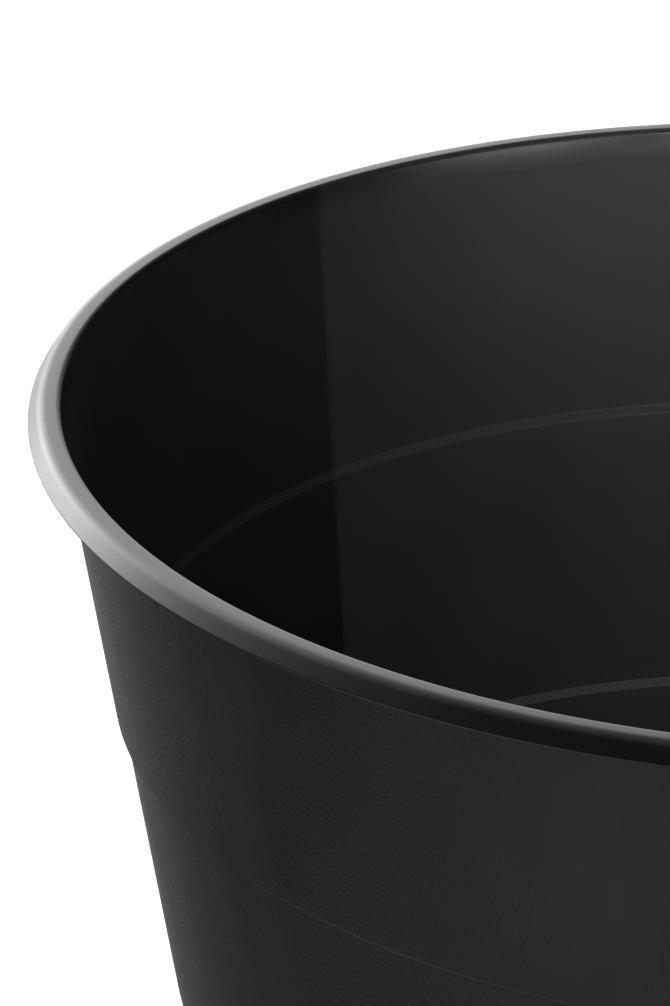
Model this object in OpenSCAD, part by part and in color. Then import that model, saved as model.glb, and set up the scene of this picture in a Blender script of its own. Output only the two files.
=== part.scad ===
// Florist bucket: a tall tapered tub for cut stems, moulded in one shot of black polypropylene.
// The real tub is a single moulding. Each module below is one named region of its wall, and the
// regions meet face to face. +Z is up, and the origin is the centre of the ring it stands on.

/* [Bucket] */
// Overall height, from the standing face to the top of the rim
height = 280; // [220:1:330]
// Diameter of the rim's crease, where the flat top band turns down into the skirt
rim_d = 300; // [260:1:340]
// Wall thickness, measured square to the wall
wall = 1.1; // [0.9:0.05:1.3]
// Taper of the wall, degrees from upright
taper = 10.2; // [7:0.1:11]

/* [Rim] */
// Reach of the flat top band past the outside of the wall
band_reach = 3; // [2:0.1:5]
// Depth of the skirt below the top of the rim
skirt_drop = 3.5; // [3.2:0.1:5]
// How far the skirt flares out past the crease
skirt_flare = 2.3; // [2:0.1:3]
// Thickness of the skirt
skirt_t = 0.9; // [0.7:0.05:1.1]
// Radius of the crease between the band and the skirt
crease_round = 2.2; // [1.4:0.1:2.2]
// Radius of the mouth's inner edge
mouth_round = 1.3; // [0.8:0.1:1.5]
// How far the mouth's inner edge flares out of line with the wall
mouth_flare = 0.17; // [0.05:0.01:0.2]

/* [Shoulders] */
// Depth of the upper shoulder's edge below the top of the rim
upper_depth = 59.8; // [40:0.1:70]
// Depth of the lower shoulder's edge below the top of the rim
lower_depth = 118.2; // [90:0.1:150]
// How far the wall steps in at each shoulder
shoulder_step = 1.1; // [0.9:0.1:1.6]
// How far the ledge outside falls across that step
ledge_drop = 0.2; // [0.1:0.1:0.6]
// Radius of the ledge's edge outside
ledge_round = 0.6; // [0.4:0.05:0.8]
// How far the slope inside falls across the same step
slope_drop = 1.3; // [1:0.1:1.6]
// Radius of the slope's two bends
slope_round = 0.25; // [0.2:0.05:0.6]

/* [Base] */
// Height of the floor's underside above the standing face
foot_h = 4; // [3:0.5:6]
// Width of the standing ring
foot_w = 2.4; // [1.8:0.1:3.5]
// Thickness of the floor
floor_t = 1.6; // [1.2:0.1:2]
// Outer radius of the heel, where the wall turns into the floor
heel_round = 8; // [5:0.5:12]
// Rise of the floor's middle, which keeps it from rocking
floor_rise = 2; // [1:0.5:4]
// Radius of the moulding gate's nub under the floor
gate_r = 4; // [3:0.5:6]

/* [Hidden] */
$fn = 180;
BLACK = [0.06, 0.06, 0.065];
slope = tan(taper);
wall_h = wall / cos(taper);
rim_r = rim_d / 2;
// Outside of the wall, carried up to the top of the rim
top_r = rim_r - band_reach;
rim_depth = 6;
shoulder_half = 3.5;
heel_top = foot_h + 16;
tip_round = 0.3;
ledge_fillet = 0.3;
// The flare starts at this bend below the mouth, and the bend is this gentle
flare_depth = 3.8;
flare_round = 80;
fillet = 0.5;
foot_round = 0.6;
gate_h = 1;
// Where the heel's flat stretch ends and the floor panel begins
panel_r = outer_r(foot_h, 2) - heel_round - foot_w - 6;
rise_run = 5;
foot_r = outer_r(foot_h, 2) - heel_round;

// Radius of the wall's outside and inside at height z, after that many shoulders
function outer_r(z, steps) = top_r - (height - z) * slope - steps * shoulder_step;
function inner_r(z, steps) = outer_r(z, steps) - wall_h;

function unit(v) = v / norm(v);
function xy(p) = [p[0], p[1]];
// Left-hand normal of the line from a to b
function normal(a, b) = let (d = unit(xy(b) - xy(a))) [-d[1], d[0]];
// The points that round the corner p, between its neighbours a and b, to the radius p[2]
function rounded(a, p, b) =
    let (u = unit(xy(a) - xy(p)), v = unit(xy(b) - xy(p)), half = acos(u * v) / 2,
         centre = xy(p) + p[2] / sin(half) * unit(u + v),
         from = xy(p) + p[2] / tan(half) * u - centre, to = xy(p) + p[2] / tan(half) * v - centre,
         sweep = 180 - 2 * half, turn = sign(from[0] * to[1] - from[1] * to[0]),
         steps = max(2, ceil(sweep / 10)))
    [for (i = [0:steps]) let (w = turn * sweep * i / steps)
        centre + [from[0] * cos(w) - from[1] * sin(w), from[0] * sin(w) + from[1] * cos(w)]];

// A closed outline: corners are [r, z], or [r, z, radius] where they are rounded
function outline(c) = let (n = len(c))
    [for (i = [0:n - 1]) each
        (len(c[i]) == 3 ? rounded(c[(i + n - 1) % n], c[i], c[(i + 1) % n]) : [c[i]])];

module turned(corners) { color(BLACK) rotate_extrude() polygon(outline(corners)); }

// A plain stretch of wall between two heights
module wall_band(low, high, steps) {
    turned([[outer_r(low, steps), low], [outer_r(high, steps), high],
            [inner_r(high, steps), high], [inner_r(low, steps), low]]);
}

// A shoulder: outside, the wall steps in below a nearly level ledge, and inside it follows at a
// gentler slope, one wall thickness higher
module shoulder(depth, steps) {
    edge_z = height - depth;
    high = edge_z + shoulder_half;
    low = edge_z - shoulder_half;
    root_z = edge_z - ledge_drop;
    middle = edge_z + wall + ledge_drop;
    bend = middle + slope_drop / 2;
    foot = middle - slope_drop / 2;
    turned([[outer_r(high, steps), high], [outer_r(edge_z, steps), edge_z, ledge_round],
            [outer_r(root_z, steps + 1), root_z, ledge_fillet], [outer_r(low, steps + 1), low],
            [inner_r(low, steps + 1), low], [inner_r(foot, steps + 1), foot, slope_round],
            [inner_r(bend, steps), bend, slope_round], [inner_r(high, steps), high]]);
}

// The skirt's four corners: crease, tip, and the same two on its inside
crease = [rim_r, height];
tip = [rim_r + skirt_flare, height - skirt_drop];
skirt_in = normal(crease, tip) * -skirt_t;
// The cut across the skirt that parts it from the band, this far below the crease
cut = crease + (tip - crease) * 0.35;
// Where the inside of the skirt meets the underside of the band
under_z = height - wall;
under_r = tip[0] + skirt_in[0] - (under_z - tip[1] - skirt_in[1]) * skirt_flare / skirt_drop;

module rim_band() {
    low = height - rim_depth;
    turned([[inner_r(low, 0), low], [outer_r(low, 0), low],
            [outer_r(under_z, 0), under_z, fillet], [under_r, under_z, crease_round - wall],
            cut + skirt_in, cut, [crease[0], crease[1], crease_round],
            [inner_r(height, 0) + mouth_flare, height, mouth_round],
            [inner_r(height - flare_depth, 0), height - flare_depth, flare_round]]);
}

module rim_skirt() {
    turned([cut, cut + skirt_in, [tip[0] + skirt_in[0], tip[1] + skirt_in[1], tip_round],
            [tip[0], tip[1], tip_round]]);
}

module upper_wall() { wall_band(height - upper_depth + shoulder_half, height - rim_depth, 0); }

module upper_shoulder() { shoulder(upper_depth, 0); }

module middle_wall() {
    wall_band(height - lower_depth + shoulder_half, height - upper_depth - shoulder_half, 1);
}

module lower_shoulder() { shoulder(lower_depth, 1); }

module lower_wall() { wall_band(heel_top, height - lower_depth - shoulder_half, 2); }

module base_heel() {
    floor_z = foot_h + floor_t;
    turned([[inner_r(heel_top, 2), heel_top], [inner_r(floor_z, 2), floor_z, heel_round - wall],
            [panel_r, floor_z], [panel_r, foot_h],
            [outer_r(foot_h, 2), foot_h, heel_round], [outer_r(heel_top, 2), heel_top]]);
}

module floor_panel() {
    low = foot_h + floor_rise;
    turned([[0, low], [panel_r - 2 * rise_run, low], [panel_r - rise_run, foot_h], [panel_r, foot_h],
            [panel_r, foot_h + floor_t], [panel_r - rise_run, foot_h + floor_t],
            [panel_r - 2 * rise_run, low + floor_t], [0, low + floor_t]]);
}

module foot_ring() {
    turned([[foot_r - foot_w, 0, foot_round], [foot_r, 0, foot_round],
            [foot_r, foot_h], [foot_r - foot_w, foot_h]]);
}

module gate_nub() {
    color(BLACK) translate([0, 0, foot_h + floor_rise - gate_h]) cylinder(r = gate_r, h = gate_h);
}

rim_band();
rim_skirt();
upper_wall();
upper_shoulder();
middle_wall();
lower_shoulder();
lower_wall();
base_heel();
floor_panel();
foot_ring();
gate_nub();
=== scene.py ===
"""Looks for the florist bucket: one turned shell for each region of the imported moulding.

All sizes are in metres, in the row frame: +Z up, the origin at the centre of the standing ring.
"""

import math

import bpy
from mathutils import Matrix, Vector


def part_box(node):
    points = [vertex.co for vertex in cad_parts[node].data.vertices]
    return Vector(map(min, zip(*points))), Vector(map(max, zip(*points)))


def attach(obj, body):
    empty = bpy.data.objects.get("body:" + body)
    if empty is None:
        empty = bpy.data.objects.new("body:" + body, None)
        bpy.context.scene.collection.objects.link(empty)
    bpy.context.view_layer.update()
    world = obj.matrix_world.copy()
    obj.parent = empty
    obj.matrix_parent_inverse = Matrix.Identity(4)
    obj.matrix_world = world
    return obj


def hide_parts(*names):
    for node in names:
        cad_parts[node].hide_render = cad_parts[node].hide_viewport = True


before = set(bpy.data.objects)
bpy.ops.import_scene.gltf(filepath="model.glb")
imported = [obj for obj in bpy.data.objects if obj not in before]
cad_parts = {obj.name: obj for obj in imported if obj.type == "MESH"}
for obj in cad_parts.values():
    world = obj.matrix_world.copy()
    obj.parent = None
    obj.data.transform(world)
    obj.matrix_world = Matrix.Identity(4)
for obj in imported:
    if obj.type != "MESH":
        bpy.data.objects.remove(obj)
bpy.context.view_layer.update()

# ---------------------------------------------------------------------------------------------
# Sizes of the moulding that no node's box gives
# ---------------------------------------------------------------------------------------------
WALL = 0.0011
FLOOR = 0.0016
STEP = 0.0011
LEDGE_DROP = 0.0002
LEDGE_ROUND = 0.0006
LEDGE_FILLET = 0.0003
SLOPE_DROP = 0.0013
SLOPE_ROUND = 0.00025
SKIRT = 0.0009
SKIRT_FLARE = 0.0023
SKIRT_DROP = 0.0035
SKIRT_CUT = 0.35
CREASE_ROUND = 0.0022
MOUTH_ROUND = 0.0013
MOUTH_FLARE = 0.00017
FLARE_DEPTH = 0.0038
FLARE_ROUND = 0.08
TIP_ROUND = 0.0003
FILLET = 0.0005
HEEL_ROUND = 0.008
RISE_RUN = 0.005
RISE_ROUND = 0.004
FOOT_WIDTH = 0.0024
FOOT_ROUND = 0.0006
GATE_ROUND = 0.0003
# The wall has stepped in this many times when it reaches the heel
SHOULDERS = 2

# Facets round a shell, the widest angle and the fewest facets of a rounded corner, the angle from
# which an edge is drawn sharp, and the radius below which a point is on the axis
TURN_STEPS = 384
ARC_STEP = math.radians(6)
ARC_LEAST = 6
SHARP_ANGLE = math.radians(40)
ON_AXIS = 1e-7


def radius(node):
    """A round node's outer radius, from its box."""
    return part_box(node)[1].x


def low(node):
    """A node's lowest height, from its box."""
    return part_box(node)[0].z


def high(node):
    """A node's greatest height, from its box."""
    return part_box(node)[1].z


TOP = high("rim_band")
WALL_TOP = high("upper_wall")
SLOPE = (radius("upper_wall") - radius("upper_shoulder")) / (WALL_TOP - low("upper_wall"))
WALL_H = WALL * math.hypot(1, SLOPE)
RIM_R = radius("rim_band") - SKIRT_CUT * SKIRT_FLARE


def outer_r(z, steps):
    """Radius of the wall's outside at height z, after that many shoulders."""
    return radius("upper_wall") - (WALL_TOP - z) * SLOPE - steps * STEP


def inner_r(z, steps):
    """Radius of the wall's inside at height z, after that many shoulders."""
    return outer_r(z, steps) - WALL_H


# ---------------------------------------------------------------------------------------------
# Turned shells. A corner is (point, radius, skin): skin is the material of the side after it.
# ---------------------------------------------------------------------------------------------
def rounded(a, p, b, r):
    """The points that round the corner p, between its neighbours a and b, to the radius r."""
    u, v = (a - p).normalized(), (b - p).normalized()
    half = u.angle(v) / 2
    centre = p + (u + v).normalized() * (r / math.sin(half))
    start = p + u * (r / math.tan(half)) - centre
    end = p + v * (r / math.tan(half)) - centre
    sweep = math.copysign(math.pi - 2 * half, start.x * end.y - start.y * end.x)
    steps = max(ARC_LEAST, math.ceil(abs(sweep) / ARC_STEP))
    return [centre + Matrix.Rotation(sweep * i / steps, 2) @ start for i in range(steps + 1)]


def outline(corners):
    """Corners to a closed list of (point, skin of the side after the point)."""
    points = []
    for i, (p, r, skin) in enumerate(corners):
        if r == 0:
            points.append((p, skin))
            continue
        arc = rounded(corners[i - 1][0], p, corners[(i + 1) % len(corners)][0], r)
        bend = corners[i - 1][2]
        points += [(q, bend) for q in arc[:-1]] + [(arc[-1], skin)]
    return points


def turned(node, corners):
    """Turns a closed outline about Z into a shell that stands for a CAD node."""
    points = outline([(Vector(p), r, skin) for p, r, skin in corners])
    area = sum(points[i - 1][0].cross(points[i][0]) for i in range(len(points)))
    skins = sorted({skin for _, skin in points})
    verts, rings = [], []
    for p, _ in points:
        if p.x < ON_AXIS:
            rings.append([len(verts)] * TURN_STEPS)
            verts.append((0, 0, p.y))
            continue
        rings.append(list(range(len(verts), len(verts) + TURN_STEPS)))
        for k in range(TURN_STEPS):
            w = 2 * math.pi * k / TURN_STEPS
            verts.append((p.x * math.cos(w), p.x * math.sin(w), p.y))
    faces, face_skins = [], []
    for i, (_, skin) in enumerate(points):
        here, after = rings[i], rings[(i + 1) % len(rings)]
        if here[0] == here[1] and after[0] == after[1]:
            continue
        for k in range(TURN_STEPS):
            n = (k + 1) % TURN_STEPS
            quad = list(dict.fromkeys([here[k], here[n], after[n], after[k]]))
            faces.append(quad if area > 0 else quad[::-1])
            face_skins.append(skins.index(skin))
    mesh = bpy.data.meshes.new(node + "_shell")
    mesh.from_pydata(verts, [], faces)
    for skin in skins:
        mesh.materials.append(SKINS[skin])
    mesh.polygons.foreach_set("material_index", face_skins)
    mesh.shade_smooth()
    mesh.set_sharp_from_angle(angle=SHARP_ANGLE)
    mesh.update()
    piece = bpy.data.objects.new(node + "_shell", mesh)
    bpy.context.scene.collection.objects.link(piece)
    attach(piece, "root")
    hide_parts(node)


# ---------------------------------------------------------------------------------------------
# Materials: one black polypropylene, as the mould left it on each side
# ---------------------------------------------------------------------------------------------
class Nodes:
    """Adds and links shader nodes in one material."""

    def __init__(self, name):
        self.material = bpy.data.materials.new(name)
        self.material.use_nodes = True
        self.tree = self.material.node_tree
        self.shader = self.tree.nodes["Principled BSDF"]
        self.place = self.add("ShaderNodeTexCoord").outputs["Object"]

    def add(self, kind, **settings):
        """A new node, with settings on the node itself or on the input of that name."""
        node = self.tree.nodes.new(kind)
        for key, value in settings.items():
            if hasattr(node, key):
                setattr(node, key, value)
            else:
                node.inputs[key].default_value = value
        return node

    def link(self, source, target):
        self.tree.links.new(source, target)

    def noise(self, scale, detail, stretch=(1, 1, 1)):
        """Noise over the surface, squeezed along the axes by stretch."""
        mapping = self.add("ShaderNodeMapping", Scale=stretch)
        self.link(self.place, mapping.inputs["Vector"])
        noise = self.add("ShaderNodeTexNoise", Scale=scale, Detail=detail)
        self.link(mapping.outputs["Vector"], noise.inputs["Vector"])
        return noise.outputs["Fac"]

    def spread(self, source, low_in, high_in, low_out, high_out):
        """Maps a value's range to another."""
        node = self.add("ShaderNodeMapRange")
        ends = {"From Min": low_in, "From Max": high_in, "To Min": low_out, "To Max": high_out}
        for key, value in ends.items():
            node.inputs[key].default_value = value
        self.link(source, node.inputs["Value"])
        return node.outputs["Result"]

    def height(self):
        """The point's height in the frame."""
        axes = self.add("ShaderNodeSeparateXYZ")
        self.link(self.place, axes.inputs["Vector"])
        return axes.outputs["Z"]

    def total(self, a, b):
        """The sum of two values."""
        node = self.add("ShaderNodeMath", operation="ADD")
        self.link(a, node.inputs[0])
        self.link(b, node.inputs[1])
        return node.outputs["Value"]

    def mix(self, factor, a, b):
        """Colour a where the factor is 0, b where it is 1."""
        node = self.add("ShaderNodeMix", data_type="RGBA", A=(*a, 1), B=(*b, 1))
        self.link(factor, node.inputs["Factor"])
        return node.outputs["Result"]

    def bump(self, height, distance, under=None):
        """A normal tilted by a height, on top of the normal under it."""
        node = self.add("ShaderNodeBump", Distance=distance, Strength=1.0)
        self.link(height, node.inputs["Height"])
        if under is not None:
            self.link(under, node.inputs["Normal"])
        return node.outputs["Normal"]


# Noise scales, per metre: mottled colour, scuffs drawn out upright, and the mould's waviness
MOTTLE_SCALE = 38
SCUFF_SCALE = 90
SCUFF_STRETCH = (1, 1, 0.35)
WAVE_SCALE = 14
# The part of the noise's range that colour and gloss are spread over
NOISE_LOW = 0.3
NOISE_HIGH = 0.7
PLASTIC_IOR = 1.5

# Roughness of each finish. The mouth's polish fades out between the two depths below the rim.
GRAINED = 0.42
SATIN = 0.48
GLOSSY = 0.22
POLISH_START = 0.0015
POLISH_DEPTH = 0.0058

# Darkest and lightest colour of the mottle
OUTSIDE_TINTS = ((0.012, 0.012, 0.0125), (0.018, 0.018, 0.019))
INSIDE_TINTS = ((0.010, 0.010, 0.0105), (0.014, 0.014, 0.0145))
RIM_TINTS = ((0.012, 0.012, 0.0125), (0.016, 0.016, 0.017))


def plastic(name, tints, rough, swing, grain_scale, grain_depth, wave_depth, fade=None):
    """Black polypropylene: mottled colour, uneven gloss, fine mould grain over a slow waviness.

    The roughness swings to either side of rough. fade is two (height, roughness) pairs, between
    which the gloss changes with height.
    """
    n = Nodes(name)
    mottle = n.spread(n.noise(MOTTLE_SCALE, detail=4), NOISE_LOW, NOISE_HIGH, 0, 1)
    n.link(n.mix(mottle, *tints), n.shader.inputs["Base Color"])
    scuff = n.noise(SCUFF_SCALE, detail=5, stretch=SCUFF_STRETCH)
    gloss = n.spread(scuff, NOISE_LOW, NOISE_HIGH, rough - swing, rough + swing)
    if fade is not None:
        (z1, rough1), (z2, rough2) = fade
        gloss = n.total(gloss, n.spread(n.height(), z1, z2, rough1 - rough, rough2 - rough))
    n.link(gloss, n.shader.inputs["Roughness"])
    wave = n.bump(n.noise(WAVE_SCALE, detail=2), wave_depth)
    grain = n.bump(n.noise(grain_scale, detail=2), grain_depth, wave)
    n.link(grain, n.shader.inputs["Normal"])
    n.shader.inputs["IOR"].default_value = PLASTIC_IOR
    return n.material


OUTSIDE_FINISH = {
    "tints": OUTSIDE_TINTS,
    "rough": GRAINED,
    "swing": 0.05,
    "grain_scale": 1500,
    "grain_depth": 0.0001,
    "wave_depth": 0.0001,
}
INSIDE_FINISH = {
    "tints": INSIDE_TINTS,
    "rough": SATIN,
    "swing": 0.03,
    "grain_scale": 700,
    "grain_depth": 0.000003,
    "wave_depth": 0.00005,
}
RIM_FINISH = {
    "tints": RIM_TINTS,
    "rough": GLOSSY,
    "swing": 0.03,
    "grain_scale": 900,
    "grain_depth": 0.000004,
    "wave_depth": 0.00002,
}
POLISH_FADE = ((TOP - POLISH_DEPTH, SATIN), (TOP - POLISH_START, GLOSSY))
SKINS = {
    "outside": plastic("black_grained_outside", **OUTSIDE_FINISH),
    "inside": plastic("black_satin_inside", **INSIDE_FINISH),
    "rim": plastic("black_gloss_rim", **RIM_FINISH),
    "mouth": plastic("black_gloss_mouth", **RIM_FINISH, fade=POLISH_FADE),
}


# ---------------------------------------------------------------------------------------------
# The regions of the moulding
# ---------------------------------------------------------------------------------------------
crease = Vector((RIM_R, TOP))
tip = crease + Vector((SKIRT_FLARE, -SKIRT_DROP))
along_skirt = (tip - crease).normalized()
skirt_in = Vector((along_skirt.y, -along_skirt.x)) * SKIRT
cut = crease + (tip - crease) * SKIRT_CUT


def rim_band():
    base, under = low("rim_band"), TOP - WALL
    inside_tip = tip + skirt_in
    under_r = inside_tip.x - (under - inside_tip.y) * SKIRT_FLARE / SKIRT_DROP
    turned("rim_band", [
        ((inner_r(base, 0), base), 0, "outside"),
        ((outer_r(base, 0), base), 0, "outside"),
        ((outer_r(under, 0), under), FILLET, "rim"),
        ((under_r, under), CREASE_ROUND - WALL, "rim"),
        (cut + skirt_in, 0, "rim"),
        (cut, 0, "rim"),
        (crease, CREASE_ROUND, "rim"),
        ((inner_r(TOP, 0) + MOUTH_FLARE, TOP), MOUTH_ROUND, "mouth"),
        ((inner_r(TOP - FLARE_DEPTH, 0), TOP - FLARE_DEPTH), FLARE_ROUND, "inside"),
    ])


def rim_skirt():
    turned("rim_skirt", [
        (cut, 0, "rim"),
        (cut + skirt_in, 0, "rim"),
        (tip + skirt_in, TIP_ROUND, "rim"),
        (tip, TIP_ROUND, "rim"),
    ])


def wall_band(node, steps):
    """A plain stretch of wall, after that many shoulders."""
    base, top = low(node), high(node)
    turned(node, [
        ((outer_r(base, steps), base), 0, "outside"),
        ((outer_r(top, steps), top), 0, "outside"),
        ((inner_r(top, steps), top), 0, "inside"),
        ((inner_r(base, steps), base), 0, "outside"),
    ])


def shoulder(node, steps):
    """A step in the wall: a nearly level ledge outside, and a slope inside, one wall higher."""
    base, top = low(node), high(node)
    edge_z = (base + top) / 2
    root_z = edge_z - LEDGE_DROP
    middle = edge_z + WALL + LEDGE_DROP
    bend, foot = middle + SLOPE_DROP / 2, middle - SLOPE_DROP / 2
    turned(node, [
        ((outer_r(top, steps), top), 0, "outside"),
        ((outer_r(edge_z, steps), edge_z), LEDGE_ROUND, "outside"),
        ((outer_r(root_z, steps + 1), root_z), LEDGE_FILLET, "outside"),
        ((outer_r(base, steps + 1), base), 0, "outside"),
        ((inner_r(base, steps + 1), base), 0, "inside"),
        ((inner_r(foot, steps + 1), foot), SLOPE_ROUND, "inside"),
        ((inner_r(bend, steps), bend), SLOPE_ROUND, "inside"),
        ((inner_r(top, steps), top), 0, "outside"),
    ])


def base_heel():
    under, top = low("base_heel"), high("base_heel")
    floor, panel = under + FLOOR, radius("floor_panel")
    turned("base_heel", [
        ((inner_r(top, SHOULDERS), top), 0, "inside"),
        ((inner_r(floor, SHOULDERS), floor), HEEL_ROUND - WALL, "inside"),
        ((panel, floor), 0, "outside"),
        ((panel, under), 0, "outside"),
        ((outer_r(under, SHOULDERS), under), HEEL_ROUND, "outside"),
        ((outer_r(top, SHOULDERS), top), 0, "outside"),
    ])


def floor_panel():
    under, panel, top = low("floor_panel"), radius("floor_panel"), high("floor_panel")
    raised = top - FLOOR
    turned("floor_panel", [
        ((0, raised), 0, "outside"),
        ((panel - 2 * RISE_RUN, raised), RISE_ROUND, "outside"),
        ((panel - RISE_RUN, under), RISE_ROUND, "outside"),
        ((panel, under), 0, "outside"),
        ((panel, under + FLOOR), 0, "inside"),
        ((panel - RISE_RUN, under + FLOOR), RISE_ROUND, "inside"),
        ((panel - 2 * RISE_RUN, top), RISE_ROUND, "inside"),
        ((0, top), 0, "inside"),
    ])


def foot_ring():
    r, top = radius("foot_ring"), high("foot_ring")
    turned("foot_ring", [
        ((r - FOOT_WIDTH, 0), FOOT_ROUND, "outside"),
        ((r, 0), FOOT_ROUND, "outside"),
        ((r, top), 0, "outside"),
        ((r - FOOT_WIDTH, top), 0, "outside"),
    ])


def gate_nub():
    r, under, top = radius("gate_nub"), low("gate_nub"), high("gate_nub")
    turned("gate_nub", [
        ((0, under), 0, "outside"),
        ((r, under), GATE_ROUND, "outside"),
        ((r, top), 0, "outside"),
        ((0, top), 0, "outside"),
    ])


rim_band()
rim_skirt()
wall_band("upper_wall", 0)
shoulder("upper_shoulder", 0)
wall_band("middle_wall", 1)
shoulder("lower_shoulder", 1)
wall_band("lower_wall", SHOULDERS)
base_heel()
floor_panel()
foot_ring()
gate_nub()


# ---------------------------------------------------------------------------------------------
# Studio: pale floor, soft glows round the bucket, a strip light, camera
# ---------------------------------------------------------------------------------------------
# Each glow is a soft patch of light far away: azimuth (0 is +X, 90 is +Y), elevation, spread in
# degrees, and brightness beside white
GLOWS = (
    (100, 10, 13, 1.7),
    (135, 10, 13, 4.0),
    (150, 10, 13, 3.0),
    (120, 32, 15, 2.5),
    (150, 32, 15, 2.1),
    (180, 35, 15, 0.45),
    (100, -12, 13, 0.8),
    (125, -12, 13, 0.4),
    (150, -58, 8, 0.7),
    (140, -70, 10, 0.6),
    (-150, -40, 18, 0.1),
    (-120, -40, 18, 0.7),
    (0, 85, 20, 0.6),
    (-40, 8, 12, 1.9),
    (-40, 2, 9, 1.6),
    (-45, 35, 15, 0.6),
)

# The strip stands upright to the right of the camera. Its bands are (bottom, top, power). The flag
# in front of it keeps its light off everything left of one upright plane, which is what parts the
# inside into dark and light.
STRIP_PLACE = Vector((0.4245, -1.085, 0))
STRIP_AIM = Vector((-0.4107, 0.91, 0))
STRIP_WIDTH = 0.00012
STRIP_BANDS = ((0.30, 0.50, 0.9), (0.50, 0.80, 0.9), (0.80, 1.20, 7.4))
FLAG_GAP = 0.12
FLAG_WIDTH = 0.03
FLAG_HEIGHT = 2.2

# The floor's half size, look and own light, and the brightness of the backdrop that only the
# camera sees
FLOOR_HALF = 12
FLOOR_COLOUR = (0.8, 0.8, 0.8, 1)
FLOOR_ROUGH = 0.9
FLOOR_GLOW = 0.7
BACKDROP = 1.05
WHITE = (1, 1, 1, 1)
BLACK = (0, 0, 0, 1)


def direction(azimuth, elevation):
    """Unit vector towards an azimuth and elevation in degrees."""
    a, e = math.radians(azimuth), math.radians(elevation)
    return Vector((math.cos(a) * math.cos(e), math.sin(a) * math.cos(e), math.sin(e)))


def studio_floor():
    """A pale floor for the camera alone. The glows below the horizon stand for it in reflections."""
    mesh = bpy.data.meshes.new("studio_floor")
    half = FLOOR_HALF
    corners = [(-half, -half, 0), (half, -half, 0), (half, half, 0), (-half, half, 0)]
    mesh.from_pydata(corners, [], [(0, 1, 2, 3)])
    floor = bpy.data.objects.new("studio_floor", mesh)
    bpy.context.scene.collection.objects.link(floor)
    floor.visible_glossy = False
    floor.visible_diffuse = False
    floor.visible_shadow = False
    n = Nodes("pale_floor")
    n.shader.inputs["Base Color"].default_value = FLOOR_COLOUR
    n.shader.inputs["Roughness"].default_value = FLOOR_ROUGH
    n.shader.inputs["Specular IOR Level"].default_value = 0
    n.shader.inputs["Emission Color"].default_value = WHITE
    n.shader.inputs["Emission Strength"].default_value = FLOOR_GLOW
    mesh.materials.append(n.material)


def studio_world():
    """The glows for the bucket to reflect, and a white backdrop that only the camera sees."""
    world = bpy.data.worlds.new("studio")
    bpy.context.scene.world = world
    world.use_nodes = True
    tree = world.node_tree

    def math_node(kind, a, b):
        """A sum or other operation on two values, each a number or another node's output."""
        node = tree.nodes.new("ShaderNodeMath")
        node.operation = kind
        for socket, value in zip(node.inputs, (a, b)):
            if isinstance(value, (int, float)):
                socket.default_value = value
            else:
                tree.links.new(value, socket)
        return node.outputs[0]

    ray = tree.nodes.new("ShaderNodeTexCoord").outputs["Generated"]
    total = 0
    for azimuth, elevation, spread, brightness in GLOWS:
        facing = tree.nodes.new("ShaderNodeVectorMath")
        facing.operation = "DOT_PRODUCT"
        tree.links.new(ray, facing.inputs[0])
        facing.inputs[1].default_value = direction(azimuth, elevation)
        away = math_node("SUBTRACT", facing.outputs["Value"], 1.0)
        fall = math_node("EXPONENT", math_node("MULTIPLY", away, 1 / math.radians(spread) ** 2), 0)
        total = math_node("ADD", math_node("MULTIPLY", fall, brightness), total)
    glow = tree.nodes["Background"]
    glow.inputs["Color"].default_value = WHITE
    tree.links.new(total, glow.inputs["Strength"])
    white = tree.nodes.new("ShaderNodeBackground")
    white.inputs["Color"].default_value = WHITE
    white.inputs["Strength"].default_value = BACKDROP
    mix = tree.nodes.new("ShaderNodeMixShader")
    path = tree.nodes.new("ShaderNodeLightPath")
    tree.links.new(path.outputs["Is Camera Ray"], mix.inputs[0])
    tree.links.new(glow.outputs[0], mix.inputs[1])
    tree.links.new(white.outputs[0], mix.inputs[2])
    tree.links.new(mix.outputs[0], tree.nodes["World Output"].inputs["Surface"])


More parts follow.
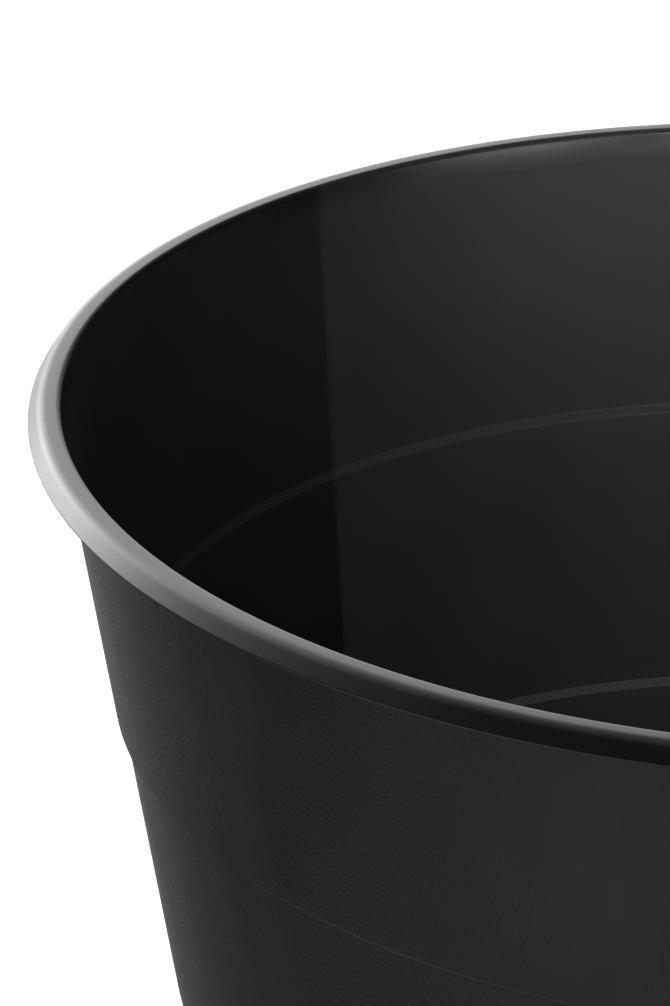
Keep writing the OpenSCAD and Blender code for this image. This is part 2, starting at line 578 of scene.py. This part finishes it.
def strip_light():
    """An upright strip, brighter or dimmer by height, with a flag at its side."""
    aim = STRIP_AIM.normalized()
    for k, (base, top, power) in enumerate(STRIP_BANDS):
        light = bpy.data.lights.new("strip_%d" % k, "AREA")
        light.shape = "RECTANGLE"
        light.size, light.size_y = STRIP_WIDTH, top - base
        light.energy = power
        strip = bpy.data.objects.new(light.name, light)
        strip.location = STRIP_PLACE + Vector((0, 0, (base + top) / 2))
        strip.rotation_euler = aim.to_track_quat("-Z", "Y").to_euler()
        strip.visible_camera = False
        bpy.context.scene.collection.objects.link(strip)
    side = Vector((-aim.y, aim.x, 0))
    edge = STRIP_PLACE + aim * FLAG_GAP
    far = edge + side * FLAG_WIDTH
    tall = Vector((0, 0, FLAG_HEIGHT))
    mesh = bpy.data.meshes.new("strip_flag")
    mesh.from_pydata([edge, far, far + tall, edge + tall], [], [(0, 1, 2, 3)])
    flag = bpy.data.objects.new("strip_flag", mesh)
    bpy.context.scene.collection.objects.link(flag)
    n = Nodes("flag_black")
    n.shader.inputs["Base Color"].default_value = BLACK
    mesh.materials.append(n.material)
    flag.visible_camera = False
    flag.visible_glossy = False
    flag.visible_diffuse = False


# The camera stands this many rim radii from the middle of the rim, at this elevation. Angles are
# in radians, and the lens and the sensor in millimetres.
CAMERA_DISTANCE = 7.161
CAMERA_ELEVATION = 0.3972
CAMERA_PITCH = 0.4181
CAMERA_YAW = -0.096
CAMERA_ROLL = 0.0131
CAMERA_LENS = 205.9
CAMERA_SENSOR = 36
CAMERA_NEAR = 0.05
CAMERA_FAR = 100


def studio_camera():
    """The photo's viewpoint: close, from above, with the bucket running out of the frame."""
    data = bpy.data.cameras.new("camera")
    data.sensor_width = CAMERA_SENSOR
    data.lens = CAMERA_LENS
    data.clip_start, data.clip_end = CAMERA_NEAR, CAMERA_FAR
    camera = bpy.data.objects.new("camera", data)
    bpy.context.scene.collection.objects.link(camera)
    ahead = Vector((
        math.sin(CAMERA_YAW) * math.cos(CAMERA_PITCH),
        math.cos(CAMERA_YAW) * math.cos(CAMERA_PITCH),
        -math.sin(CAMERA_PITCH),
    ))
    side = ahead.cross(Vector((0, 0, 1))).normalized()
    up = side.cross(ahead)
    right = side * math.cos(CAMERA_ROLL) + up * math.sin(CAMERA_ROLL)
    top = up * math.cos(CAMERA_ROLL) - side * math.sin(CAMERA_ROLL)
    reach = CAMERA_DISTANCE * RIM_R
    back, above = reach * math.cos(CAMERA_ELEVATION), reach * math.sin(CAMERA_ELEVATION)
    place = Vector((0, -back, TOP + above))
    turn = Matrix((right, top, -ahead)).transposed()
    camera.matrix_world = Matrix.Translation(place) @ turn.to_4x4()
    bpy.context.scene.camera = camera


studio_floor()
studio_world()
strip_light()
studio_camera()
bpy.context.scene.view_settings.view_transform = "Standard"
